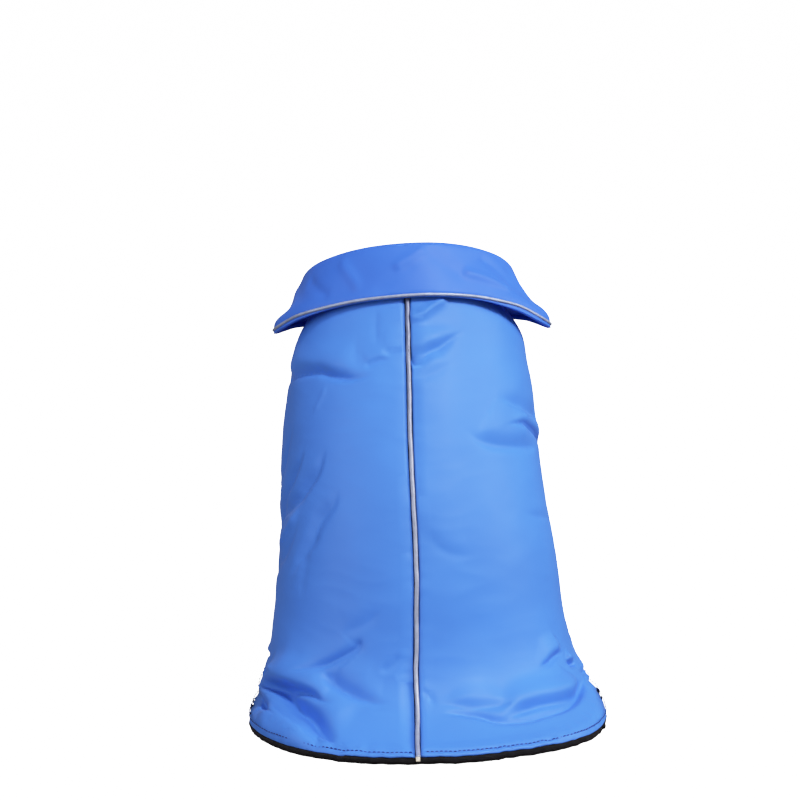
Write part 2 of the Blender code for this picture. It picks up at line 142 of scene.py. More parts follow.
# Creases. path: places along it, each a turn and millimetres down, from the wearer's left to
# the right, or from below upwards. height: out of the cloth in millimetres, negative for a trough.
# hang: how far the cloth on the neck's side bulges out over it, in millimetres. up, low: its
# reach on the neck's side and the hem's. sharp: 0 is round, 1 is pinched. rise, fall: the
# shares of its length over which it begins and ends.
FOLDS = table("Fold", "path height hang up low sharp rise fall", (
    # left shoulder: the cloth tucks in and hangs over the tuck
    ((-92, 51, -72, 57, -58, 61, -49, 64, -43, 66, -36, 71, -30, 74, -24, 76, -18, 76, -13, 75), -3.6,
     3.2, 10, 3.5, 0.7, 0.1, 0.25),
    ((-19, 68, -16, 66, -12, 64, -6, 64), -1.2, 0.8, 4, 3, 0.7, 0.2, 0.4),
    ((-13, 54, -14, 38, -14, 22), -0.7, 0, 6, 4, 0.6),
    ((-12, 58, -6, 58, -2, 56), -0.7, 0.5, 6, 4, 0.2, 0.3, 0.1),
    ((-46, 98, -41, 86, -38, 75), 0.6, 0, 3, 4, 0.3),
    # waves from the centre seam to the right shoulder
    ((0.5, 32, 5, 31, 10, 25, 16, 19, 22, 13), 4.0, 0, 6, 5, 0.5, 0.02, 0.3),
    ((0.5, 66, 4, 63, 8, 58, 13, 54, 19, 47, 27, 39), -3.0, 2.2, 7, 8, 0.3, 0.02, 0.6),
    ((1, 78, 8, 76, 20, 64), -0.9, 0.6, 8, 6, 0.0, 0.1, 0.5),
    # right shoulder blade: two pinched troughs, and a broad hollow under them
    ((38, 90, 47, 89, 57, 90, 68, 90, 84, 88), -2.2, 1.0, 12, 5, 0.6, 0.4, 0.2),
    ((41, 112.5, 46, 108.5, 52, 105.5, 58, 103.5, 66, 103.5, 80, 104, 94, 107), -3.0, 2.4, 5, 4, 0.6,
     0.4, 0.2),
    ((22, 114, 25, 120, 29, 124, 37, 126, 46, 125, 58, 122, 76, 115), -2.0, 2.2, 12, 6, 0.3),
    # left flank: slanting drag lines
    ((-104, 152, -92, 143, -82, 134, -74, 126, -68, 115, -62, 98), -3.4, 0, 9, 6, 0.3, 0.4, 0.4),
    ((-100, 176, -84, 164, -71, 152, -65, 146, -59, 138, -54, 130, -50, 118), -3.8, 0, 9, 5, 0.3, 0.4,
     0.35),
    ((-100, 184, -90, 176, -78, 168, -64, 164, -56, 160, -50, 153, -43, 144, -40, 136, -36.5, 122),
     -4.0, 0, 10, 6, 0.2),
    ((-64, 226, -54, 210, -46, 196, -43.5, 188, -40.5, 180, -37.5, 175, -33.5, 169, -30, 155), -2.9, 0,
     10, 7, 0.1, 0.5, 0.35),
    ((-84, 198, -74, 189, -62, 177, -54, 168), 2.6, 0, 7, 6, 0.1, 0.4, 0.3),
    ((-96, 218, -84, 212, -72, 205, -62, 192, -56, 178), -1.8, 0, 7, 6, 0.1, 0.3, 0.4),
    ((-51, 240, -50, 220, -48, 200), -0.6, 0, 7, 7, 0.0),
    # small of the back, and the right flank
    ((0.5, 190, 5, 198, 9, 205, 14, 209, 24, 211), -0.5, 0.5, 9, 6, 0.0, 0.05, 0.5),
    ((49, 175, 58, 177, 70, 176, 88, 174), -0.8, 0.3, 6, 5, 0.4, 0.3, 0.2),
    # left rump: the cloth breaks over the seat
    ((-54, 298.5, -42, 292.5, -36, 289.5, -32, 286.5, -28, 282.5, -24, 278.5, -21, 274.5, -19.5, 267),
     -2.6, 1.2, 6, 2.5, 0.8, 0.25, 0.1),
    ((-28, 266, -24, 262, -19, 258, -16, 254, -12, 248), -0.7, 0.3, 8, 5, 0.2),
    ((-35, 290, -33.5, 297, -30, 302.5, -25, 307.5, -20, 311.5, -16, 313.5, -12, 315.5, -7, 314.5),
     -3.6, 2.0, 11, 4, 0.3, 0.2, 0.55),
    ((-84, 316, -60, 312, -51, 310, -44, 311, -38, 313, -34, 317, -30, 317.5, -26.5, 315), -7.0, 7.5, 8,
     4.5, 0.5, 0.2, 0.35),
    ((-78, 311, -66, 310, -57, 312, -50, 319, -44, 326, -38, 332, -34, 341, -30, 350, -27, 360), -8.5,
     5.5, 11, 5.5, 0.6, 0.25, 0.25),
    ((-72, 333, -57, 339, -45, 347, -36, 356), 6.5, 0, 8, 12, 0.0),
    ((-92, 325, -84, 327, -77, 329, -70, 332, -62, 336, -52, 341), -6.0, 4.5, 7, 4.5, 0.4, 0.3, 0.5),
    ((-86, 305, -72, 302, -62, 301), -1.6, 1.2, 3, 3, 0.4, 0.2, 0.3),
    ((-13, 292, -8, 288, -4, 280), -1.0, 0, 5, 4, 0.2, 0.3, 0.2),
    ((-6, 298, -4, 292, -2, 285), -0.9, 0, 4, 4, 0.3, 0.3, 0.2),
    ((-96, 292, -86, 291, -80, 291), -3.0, 1.0, 3, 3, 0.3, 0.2, 0.2),
    ((-34, 366, -35, 354, -36, 344), -1.6, 0, 2.5, 2.5, 0.6, 0.1, 0.3),
    ((-25, 366, -25, 358, -26, 352), -1.2, 0, 2.5, 2.5, 0.6, 0.1, 0.3),
    # right rump
    ((4, 315, 11, 318, 18, 320, 25, 320, 33, 317), -1.6, 1.8, 8, 5, 0.0, 0.45, 0.45),
    ((5, 324, 12, 325, 17, 328, 22, 333, 30, 335, 40, 333, 50, 331.5, 57, 328.5, 66, 323, 73, 317, 78,
     310), -4.2, 0.8, 6, 3.0, 0.6, 0.15, 0.2),
    ((22, 335, 26, 330, 32, 326, 39, 324, 46, 324, 53, 324, 60, 323, 67, 319, 73, 312), -3.6, 6.0, 8, 6,
     0.1, 0.25, 0.15),
    ((44, 297, 52, 294, 59, 290, 68, 288), -3.0, 3.6, 6, 4, 0.5, 0.5, 0.3),
    ((66, 297, 70, 299, 76, 301), -6.0, 3.0, 3.5, 3, 0.5),
    ((1, 305, 3, 311, 4, 320), -0.9, 0, 4, 3, 0.0, 0.2, 0.4),
    ((36, 361, 40, 356, 45, 361), -1.4, 0, 2, 2.5, 0.4),
    ((74, 308, 84, 312, 93, 313), -2.6, 1.0, 4, 4, 0.4, 0.3, 0.2),
    ((78, 320, 87, 323, 95, 322), -2.2, 0.8, 4, 4, 0.4, 0.3, 0.2),
    # round the chest and the belly, out of the photograph's sight
    ((98, 30, 122, 54, 142, 62), -4.0, 1.6, 11, 8, 0.5),
    ((-142, 49, -120, 43, -98, 27), -4.0, 1.6, 11, 8, 0.5),
    ((104, 80, 124, 77, 146, 87), 2.4, 0, 10, 12, 0.0),
    ((-146, 82, -126, 74, -106, 82), 2.2, 0, 10, 12, 0.0),
    ((100, 99, 114, 90, 132, 86), -2.6, 1.2, 7, 5, 0.5, 0.3, 0.4),
    ((-134, 97, -118, 92, -100, 102), -2.6, 1.2, 7, 5, 0.5, 0.4, 0.3),
    ((-184, 34, -172, 52, -150, 60), 1.6, 0, 8, 8, 0.2),
    ((104, 212, 128, 218, 150, 208), -3.4, 1.2, 9, 8, 0.5),
    ((-150, 238, -126, 230, -104, 236), -3.4, 1.2, 9, 8, 0.5),
    ((106, 247, 124, 243, 142, 250), 1.8, 0, 8, 8, 0.0),
    ((-138, 196, -120, 203, -104, 212), -2.2, 0.6, 8, 7, 0.4),
    ((112, 60, 130, 70, 150, 72), -1.8, 0.6, 7, 7, 0.4),
    ((-182, 214, -168, 224, -152, 222), 1.4, 0, 8, 8, 0.2),
    ((94, 262, 104, 250, 110, 232), -2.4, 1.0, 7, 6, 0.5, 0.3, 0.4),
    ((-110, 226, -103, 246, -96, 262), -2.4, 1.0, 7, 6, 0.5, 0.4, 0.3),
), rise=0.3, fall=0.3)

# The right half's free edge, from the neck's centre back round its flaps to the hem's.
FREE_EDGE = table("Corner", "turn down round", (
    (188, 0.000, 0.016),   # chest flap
    (188, 0.0975, 0.024),
    (98, 0.1075, 0.026),    # armhole
    (96, 0.2005, 0.026),
    (188, 0.1755, 0.018),   # belly flap
    (188, 0.2655, 0.018),
    (96, 0.2735, 0.018),
    (91, 0.3135, 0.020),    # side of the tail
    (90, BACK_LENGTH, 0.022),
))

# stand, fall, lip: how long each is; lean, spread: of the stand and of the fall, in degrees.
COLLAR = table("Station", "turn stand lean fall spread lip", (
    (-COLLAR_END, 0.0150, 2, 0.0060, 22, 0.0010),
    (-122, 0.0155, 6, 0.0120, 27, 0.0020),
    (-104, 0.0175, 12, 0.0250, 29, 0.0020),
    (-84, 0.0200, 17, 0.0455, 28, 0.0022),
    (-64, 0.0200, 14, 0.0415, 17, 0.0024),
    (-50, 0.0195, 8, 0.0395, 11, 0.0015),
    (-15, 0.0200, 1, 0.0380, 3, 0.0012),
    (15, 0.0215, 1, 0.0380, 3, 0.0012),
    (50, 0.0225, 8, 0.0390, 11, 0.0020),
    (64, 0.0230, 14, 0.0410, 17, 0.0032),
    (84, 0.0225, 18, 0.0500, 30, 0.0024),
    (104, 0.0200, 12, 0.0265, 31, 0.0020),
    (122, 0.0180, 6, 0.0120, 27, 0.0020),
    (COLLAR_END, 0.0165, 2, 0.0060, 22, 0.0010),
))

# Creases in the collar's fall, from a turn and a share of the way down it to another: a width
# as a share of the way down, and a height in millimetres.
COLLAR_CREASES = table("CollarCrease", "turn share to_turn to_share width height", (
    (-4, 0.38, 7, 0.08, 0.09, 1.5),
    (-14, 0.80, 0, 0.42, 0.14, -0.5),
    (14, 0.20, 30, 0.55, 0.16, -0.8),
    (34, 0.52, 58, 0.66, 0.09, 1.7),
    (46, 0.18, 62, 0.44, 0.12, -1.3),
    (70, 0.25, 80, 0.70, 0.12, 1.1),
    (100, 0.30, 108, 0.80, 0.16, -0.9),
    (-36, 0.20, -28, 0.66, 0.12, 1.3),
    (-60, 0.34, -48, 0.72, 0.11, -1.2),
    (-80, 0.28, -70, 0.66, 0.12, 1.2),
    (-106, 0.30, -98, 0.80, 0.16, -0.9),
))

# Height of the cloth by its distance from a finished edge, and from the centre seam.
EDGE_PROFILE = table("Profile", "distance height", (
    (0.0000, -0.0012), (0.0005, -0.0004), (0.0012, 0.0002), (0.0022, 0.0004), (0.0036, 0.0002),
    (0.0052, -0.0007), (0.0068, 0.0003), (0.0088, 0.0006), (0.0120, 0.0003), (0.0160, 0.0000),
))
SEAM_PROFILE = table("Profile", "distance height", (
    (0.0000, -0.0016), (0.0005, -0.0009), (0.0013, -0.0002), (0.0024, 0.0003), (0.0048, 0.0004),
    (0.0090, 0.0000),
))
# Noise in the cloth: its height, the sizes of its waves, and its seed.
SWELL, DIMPLES, CREPE, RIPPLE, PULL, PUCKER, EDGE_WAVES, EDGE_STEPS, BEAD_WOBBLE = table(
    "Noise", "height scale seed", (
        (0.0005, (0.055, 0.055, 0.040), 1),
        (0.0003, (0.022, 0.022, 0.016), 2),
        (0.00014, (0.030, 0.030, 0.011), 5),
        (0.00100, (0.0050, 0.016), 3),   # along the hem and the other finished edges
        (0.6, (0.030,), 8),              # how the ripple comes and goes, as a share
        (0.00045, (0.0055, 0.012), 12),  # along the centre seam
        (0.0007, (0.022,), 51),          # of the nylon's edge
        (0.0004, (0.008,), 54),
        (0.00025, (0.016,), 41),
    ))
RIPPLE_REACH = 0.009  # beyond the stitches
PUCKER_REACH = 0.008

# Distances from the outline of the mesh's rows of points along it.
INNER_ROWS = (0.0005, 0.0012, 0.0022, 0.0032, 0.0040, 0.0046, 0.0052, 0.0060, 0.0072, 0.0088)


def curve(x, y, at):
    """A smooth curve through these points, at these places."""
    slope = np.gradient(y, x)
    at = np.clip(at, x[0], x[-1])
    i = np.clip(np.searchsorted(x, at, side="right") - 1, 0, len(x) - 2)
    step = x[i + 1] - x[i]
    t = (at - x[i]) / step
    return ((2 * t**3 - 3 * t**2 + 1) * y[i] + (t**3 - 2 * t**2 + t) * step * slope[i]
            + (3 * t**2 - 2 * t**3) * y[i + 1] + (t**3 - t**2) * step * slope[i + 1])


def smooth(rows, key, column, at):
    """A column of a table at these values of its key column."""
    x = np.array([getattr(row, key) for row in rows], float)
    y = np.array([getattr(row, column) for row in rows], float)
    return curve(x, y, at)


def section(column, down):
    return smooth(SECTIONS, "down", column, down)


def back_line():
    """The centre back: distances down it, and their Y and Z."""
    down = np.arange(0.0, SECTIONS[-1].down, 0.001)
    slope = np.radians(section("slope", down))
    step = np.diff(down, prepend=0.0)
    tilt = math.radians(SECTIONS[0].tilt)
    start = SECTIONS[0].depth
    y = -start * math.cos(tilt) - np.cumsum(np.cos(slope) * step)
    z = start * math.sin(tilt) - np.cumsum(np.sin(slope) * step)
    return down, y, z


BACK = back_line()


def form(turn, down):
    """The worn shape without creases: a ring in its tilted plane for each distance down."""
    sine = np.sin(np.radians(turn))
    cosine = np.cos(np.radians(turn))
    to_right = sine >= 0
    half = np.where(to_right, section("right", down), section("left", down))
    power = 2 / np.where(to_right, section("square_right", down), section("square_left", down))
    across = half * np.sign(sine) * np.abs(sine) ** power
    forth = section("depth", down) * (1 - np.sign(cosine) * np.abs(cosine) ** power)
    tilt = np.radians(section("tilt", down))
    x = across + section("sway", down)
    y = np.interp(down, BACK[0], BACK[1]) + forth * np.cos(tilt)
    z = np.interp(down, BACK[0], BACK[2]) - forth * np.sin(tilt)
    return np.stack([x, y, z], axis=-1)


def unit(vectors):
    return vectors / np.maximum(norm(vectors, axis=-1, keepdims=True), 1e-12)


def form_steps(turn, down):
    """How the form moves for a metre of pattern across, and for a metre down."""
    across = (form(turn + 1, down) - form(turn - 1, down)) / (2 * DEGREE_WIDTH)
    above = np.maximum(down - 0.002, 0)
    lengthways = (form(turn, down + 0.002) - form(turn, above)) / (down + 0.002 - above)[..., None]
    return across, lengthways


def neck_fade(down):
    return soft_step(down, 0.0, CALM)


def form_normals(turn, down):
    across, lengthways = form_steps(turn, down)
    return unit(np.cross(lengthways, across))


def lengths_along(points):
    """How far along a line each of its points is."""
    return np.concatenate([[0], np.cumsum(norm(np.diff(points, axis=0), axis=1))])


def at_lengths(lengths, along, values):
    """Columns of values that go with a line's points, at these lengths along it."""
    return np.stack([np.interp(lengths, along, column) for column in values.T], axis=1)


def soft_step(value, low, high):
    t = np.clip((value - low) / (high - low), 0, 1)
    return t * t * (3 - 2 * t)


def wander(places, scale, seed):
    """Smooth noise, about -1 to 1, at these places."""
    shift = Vector((seed * 7.31, seed * 3.17, seed * 5.77))
    padded = np.zeros((len(places), 3))
    padded[:, :places.shape[1]] = places / np.asarray(scale)
    return np.array([noise.noise(Vector(place) + shift) for place in padded])


def noise_at(field, places, side=0):
    """A field of the noise table at these places; each half has its own."""
    return field.height * wander(places, field.scale, field.seed + side)


def bell(value, width):
    return np.exp(-(value / width) ** 2)


def fold_line(fold, step=0.0015):
    """A crease's course on the form, as a smooth curve, and each point's share of the way."""
    turn, down = np.array(fold.path, float).reshape(-1, 2).T
    down = down / 1000
    knots = np.arange(len(turn))
    rough = form(turn, down)
    length = float(norm(np.diff(rough, axis=0), axis=1).sum())
    at = np.linspace(0, knots[-1], max(8, int(length / step)))
    line = form(curve(knots, turn, at), curve(knots, down, at))
    along = lengths_along(line)
    return line, along / along[-1]


FOLD_LINES = [(fold, *fold_line(fold)) for fold in FOLDS]


def crease_height(points, normals):
    """How far the creases move these points of the form, along its normal."""
    total = np.zeros(len(points))
    for fold, line, share in FOLD_LINES:
        middle = line.mean(axis=0)
        reach = 0.004 * max(fold.up, fold.low) + norm(line - middle, axis=1).max()
        near = np.flatnonzero(norm(points - middle, axis=1) < reach)
        if len(near) == 0:
            continue
        run = np.diff(line, axis=0)
        offset = points[near, None, :] - line[:-1]
        part = np.clip(np.sum(offset * run, -1) / np.sum(run * run, -1), 0, 1)
        offset = offset - part[..., None] * run
        apart = norm(offset, axis=-1)
        closest = np.argmin(apart, axis=1)
        row = np.arange(len(near))
        upwards = unit(np.cross(normals[near], run[closest]))
        side = np.sum(unit(offset[row, closest]) * upwards, axis=-1)
        at = share[closest] + part[row, closest] * np.diff(share)[closest]
        taper = soft_step(at, 0, fold.rise) * soft_step(1 - at, 0, fold.fall)
        slow = taper * soft_step(at, 0, HANG_ENDS) * soft_step(1 - at, 0, HANG_ENDS)
        width = 0.001 * (fold.low + (fold.up - fold.low) * (0.5 + 0.5 * side))
        u = apart[row, closest] / (width * (0.35 + 0.65 * taper))
        round_part = np.exp(-2 * u**2)
        sharp_part = np.exp(-2.2 * (np.sqrt(u**2 + 0.005) - 0.07))
        depth = fold.height * (round_part + (sharp_part - round_part) * fold.sharp)
        rise = np.where(u < 1, np.sin(0.5 * math.pi * np.minimum(u, 1)), bell(u - 1, 1.4))
        bulge = fold.hang * np.maximum(side, 0) * rise
        total[near] += 0.001 * (taper * depth + slow * bulge)
    return CREASE_LIMIT * np.tanh(total / CREASE_LIMIT)


# ---- pattern outlines, in metres of pattern: x across, y up ----
def to_pattern(turn, down):
    return np.array([turn * DEGREE_WIDTH, -down])


def from_pattern(places):
    return places[:, 0] / DEGREE_WIDTH, -places[:, 1]


def seam_turn(down, side):
    """The turn of a half's edge beside the centre-back piping. side: 1 right, -1 left."""
    half = section("right" if side > 0 else "left", down)
    square = section("square_right" if side > 0 else "square_left", down)
    return side * np.degrees(np.arcsin((SEAM_GAPS[side] / half) ** (square / 2)))


def stretch(start, end):
    """Points from start towards end, without the end."""
    count = max(1, round(float(norm(end - start)) / EDGE_SPACING))
    return [start + (end - start) * i / count for i in range(count)]


def free_edge(side):
    """A half's free edge with rounded corners, from the neck's to the hem's centre back."""
    start = to_pattern(seam_turn(0.0, side), 0.0)
    end = to_pattern(seam_turn(BACK_LENGTH, side), BACK_LENGTH)
    corners = [to_pattern(side * corner.turn, corner.down) for corner in FREE_EDGE]
    before = [start] + corners[:-1]
    after = corners[1:] + [end]
    points = []
    last = start
    for corner, previous, at, following in zip(FREE_EDGE, before, corners, after):
        enter = at + (previous - at) / norm(previous - at) * corner.round
        leave = at + (following - at) / norm(following - at) * corner.round
        points += stretch(last, enter)
        for i in range(CORNER_POINTS):
            t = i / CORNER_POINTS
            points.append((1 - t) ** 2 * enter + 2 * t * (1 - t) * at + t * t * leave)
        last = leave
    points += stretch(last, end)
    points.append(end)
    return np.array(points)


def centre_edge(side):
    """A half's edge beside the piping, from its hem up to the neck."""
    length = -EDGES[side][-1, 1]
    count = round(length / EDGE_SPACING)
    downs = [length * i / count for i in range(count - 1, 0, -1)]
    return np.array([to_pattern(seam_turn(down, side), down) for down in downs])


def moved(line, side, distance):
    """A line of pattern points moved out of the panel by true distances on the form."""
    across, lengthways = form_steps(*from_pattern(line))
    scale = np.stack([norm(across, axis=1), norm(lengthways, axis=1)], axis=1)
    ahead = unit(np.gradient(line, axis=0) * scale)
    outwards = side * np.stack([-ahead[:, 1], ahead[:, 0]], axis=1)
    return line + outwards * np.asarray(distance).reshape(-1, 1) / scale


class Line:
    """A run of points on the form that distances are measured to."""

    def __init__(self, places):
        self.places = places
        self.points = form(*from_pattern(places))
        self.along = lengths_along(self.points)
        self.tree = kdtree.KDTree(len(self.points))
        for i, point in enumerate(self.points):
            self.tree.insert(point, i)
        self.tree.balance()

    def nearest(self, points):
        """For each point, its distance to the line and how far along the line that is."""
        index = np.array([self.tree.find(point)[1] for point in points])
        best = np.full(len(points), np.inf)
        along = np.zeros(len(points))
        for first in (index - 1, index):
            first = np.clip(first, 0, len(self.points) - 2)
            run = self.points[first + 1] - self.points[first]
            offset = points - self.points[first]
            share = np.clip(np.sum(offset * run, 1) / np.maximum(np.sum(run * run, 1), 1e-14), 0, 1)
            apart = norm(offset - share[:, None] * run, axis=1)
            at = self.along[first] + share * norm(run, axis=1)
            along = np.where(apart < best, at, along)
            best = np.minimum(best, apart)
        return best, along


def shell_edge(side):
    """The nylon's free edge: drawn back from the fleece's at the hem, and a little uneven."""
    edge = free_edge(side)
    turn, down = from_pattern(edge)
    hem = soft_step(down, HEM_RAMP, BACK_LENGTH)
    hitch = soft_step(turn, 8, 30) * (1 - soft_step(turn, 42, 66))
    along = np.arange(len(edge))[:, None] * EDGE_SPACING
    uneven = noise_at(EDGE_WAVES, along, side) + noise_at(EDGE_STEPS, along, side)
    back = hem * (HEM_INSET + HEM_HITCH * hitch) + uneven
    return moved(edge, side, -back * neck_fade(down))


EDGES = {side: shell_edge(side) for side in SIDES}
FINISHED = {side: Line(EDGES[side][EDGES[side][:, 1] < -0.0012]) for side in SIDES}
SEAM = {side: Line(centre_edge(side)) for side in SIDES}


def profile_height(profile, distance):
    return np.interp(distance, [p.distance for p in profile], [p.height for p in profile])


def skin(places, side, edged=True):
    """The nylon's surface at these pattern places, or unedged the lining's, and the form's
    normals."""
    turn, down = from_pattern(places)
    points = form(turn, down)
    normals = form_normals(turn, down)
    tilt = np.radians(section("tilt", down))
    axis = np.stack([np.zeros_like(tilt), np.sin(tilt), np.cos(tilt)], axis=1)
    level_out = unit(normals - np.sum(normals * axis, axis=1)[:, None] * axis)
    fade = neck_fade(down)
    creases = crease_height(points, normals) * fade
    height = creases.copy()
    for field in (SWELL, DIMPLES):
        height += fade * field.height * wander(points, field.scale, field.seed)
    ridged = 1 - 2 * np.abs(wander(points + [0, 0, 0.6], CREPE.scale, CREPE.seed))
    height += fade * CREPE.height * ridged
    edge, along = FINISHED[side].nearest(points)
    seam, seam_along = SEAM[side].nearest(points)
    if edged:
        height += profile_height(EDGE_PROFILE, edge)
        height += profile_height(SEAM_PROFILE, seam) * fade
    else:
        height += LINING_PUSH * np.minimum(creases + PUSH_START, 0) * soft_step(edge, *PUSH_RAMP)
        height -= np.maximum(creases, 0) * bell(seam, BEAD_ROOM)
    ripple = noise_at(RIPPLE, np.stack([along, edge], axis=1), side)
    pull = PULL.height + np.abs(noise_at(PULL, along[:, None], side))
    height += ripple * pull * bell(np.maximum(edge - STITCH_INSET, 0), RIPPLE_REACH)
    pucker = noise_at(PUCKER, np.stack([seam_along, seam], axis=1), side)
    height += pucker * bell(seam, PUCKER_REACH) * fade
    lift = LAP_LIFT * soft_step(-turn, *LAP_RAMP)
    return points + normals * height[:, None] + level_out * lift[:, None], normals


# ---- meshes ----
def arc_table():
    """Arc lengths round the rings: turns, distances down, and metres from the centre back."""
    turns = np.arange(-200, 201, 2.0)
    downs = np.linspace(0, SECTIONS[-1].down, 40)
    points = form(*np.meshgrid(turns, downs))
    steps = norm(np.diff(points, axis=1), axis=-1)
    arcs = np.concatenate([np.zeros((len(downs), 1)), np.cumsum(steps, axis=1)], axis=1)
    arcs -= arcs[:, [len(turns) // 2]]
    return turns, downs, arcs


ARCS = arc_table()


def cloth_place(places):
    """Where pattern places lie on the real cloth, in metres: the UV map."""
    turn, down = from_pattern(places)
    turns, downs, arcs = ARCS
    row = np.clip(down / downs[-1] * (len(downs) - 1), 0, len(downs) - 1.001)
    first = row.astype(int)
    share = row - first
    low = np.array([np.interp(t, turns, arcs[i]) for t, i in zip(turn, first)])
    high = np.array([np.interp(t, turns, arcs[i + 1]) for t, i in zip(turn, first)])
    return np.stack([low + (high - low) * share + 0.5, 0.5 - down], axis=1)


def lattice(side):
    """Staggered rows of points over a half, closer together on the back."""
    points = []
    flap = FLAP_START * DEGREE_WIDTH
    for spacing, low, high in ((BACK_SPACING, 0, flap), (FLAP_SPACING, flap, 2 * flap)):
        row_step = spacing * math.sqrt(3) / 2
        rows = np.arange(1, int((BACK_LENGTH + 0.002) / row_step) + 1)
        columns = np.arange(int(2 * flap / spacing) + 1)
        column, row = np.meshgrid(columns, rows)
        across = spacing * (column + 0.5 * (row % 2))
        kept = (across >= low) & (across < high)
        points.append(np.stack([side * across[kept], -row[kept] * row_step], axis=1))
    return np.concatenate(points)


def inside(points, loop):
    """True for the points inside a closed outline."""
    run = np.roll(loop, -1, axis=0) - loop
    result = []
    for part in np.array_split(points, max(1, len(points) // 2000)):
        height = part[:, None, 1]
        spans = (loop[:, 1] > height) != (loop[:, 1] + run[:, 1] > height)
        rise = np.where(run[:, 1] == 0, 1, run[:, 1])
        crossing = loop[:, 0] + (height - loop[:, 1]) * run[:, 0] / rise
        result.append((spans & (part[:, None, 0] < crossing)).sum(axis=1) % 2 == 1)
    return np.concatenate(result)


def filling(side):
    """A half's outline, and its inner points: rows along the outline and the lattice beyond."""
    loop = np.concatenate([EDGES[side], centre_edge(side)])
    line = Line(np.concatenate([loop, loop[:1]]))

    def well_inside(points, room):
        points = points[inside(points, loop)]
        apart, _ = line.nearest(form(*from_pattern(points)))
        return points[apart > room]

    rows = [well_inside(moved(loop, side, -distance), 0.93 * distance) for distance in INNER_ROWS]
    grid = well_inside(lattice(side), INNER_ROWS[-1] + 0.45 * BACK_SPACING)
    return loop, np.concatenate([*rows, grid])


def triangles(outline, inner_outlines, points_inside):
    """Triangles between these points, with edges along the inner outlines."""
    points = list(outline)
    edges = []
    for inner in inner_outlines:
        first = len(points)
        edges += [(first + i, first + (i + 1) % len(inner)) for i in range(len(inner))]
        points += list(inner)
    points += list(points_inside)
    made = delaunay_2d_cdt([Vector(p) for p in points], edges, [list(range(len(outline)))], 1, 1e-7)
    return np.array([tuple(place) for place in made[0]]), made[2]


def place_object(name, data):
    made = bpy.data.objects.new(name, data)
    bpy.context.scene.collection.objects.link(made)
    return made


def new_object(name, points, faces, finish, uv=None):
    mesh = bpy.data.meshes.new(name)
    mesh.from_pydata(np.asarray(points).tolist(), [], [tuple(face) for face in faces])
    mesh.shade_smooth()
    if uv is not None:
        layer = mesh.uv_layers.new(name="cloth")
        corners = np.empty(len(mesh.loops), int)
        mesh.loops.foreach_get("vertex_index", corners)
        layer.data.foreach_set("uv", np.asarray(uv)[corners].ravel())
    mesh.materials.append(finish)
    return place_object(name, mesh)


def thicken(piece, thickness, side=-1, shares=None):
    """A wall behind a piece's surface, where asked with a share of its thickness at each point."""
    wall = piece.modifiers.new("thickness", "SOLIDIFY")
    wall.thickness = thickness
    wall.offset = side
    if shares is not None:
        group = piece.vertex_groups.new(name="wall")
        for i, share in enumerate(shares):
            group.add([i], float(share), "REPLACE")
        wall.vertex_group = group.name
    return piece


def finish_modifiers(piece):
    """Applies a piece's modifiers, so that its mesh is what shows."""
    graph = bpy.context.evaluated_depsgraph_get()
    mesh = bpy.data.meshes.new_from_object(piece.evaluated_get(graph))
    piece.modifiers.clear()
    old = piece.data
    piece.data = mesh
    bpy.data.meshes.remove(old)
    return piece


def quads(rows, columns, closed=False):
    """Faces between rows of points, which run on from the last column to the first if closed."""
    return [(row * columns + i, row * columns + (i + 1) % columns,
             (row + 1) * columns + (i + 1) % columns, (row + 1) * columns + i)
            for row in range(rows - 1) for i in range(columns if closed else columns - 1)]


def tube(centres, radii, normals, sides, flatten=1.0):
    """Rings round a line of centres, as points and faces with closed ends."""
    centres = np.asarray(centres)
    ahead = unit(np.gradient(centres, axis=0))
    up = unit(normals - np.sum(normals * ahead, axis=1)[:, None] * ahead)
    across = np.cross(ahead, up)
    angles = np.linspace(0, 2 * math.pi, sides, endpoint=False)
    rings = (centres[:, None, :]
             + np.asarray(radii).reshape(-1, 1, 1)
             * (across[:, None, :] * np.cos(angles)[None, :, None]
                + up[:, None, :] * flatten * np.sin(angles)[None, :, None]))
    faces = quads(len(centres), sides, closed=True)
    faces.append(tuple(range(sides))[::-1])
    faces.append(tuple((len(centres) - 1) * sides + j for j in range(sides)))
    return rings.reshape(-1, 3), faces


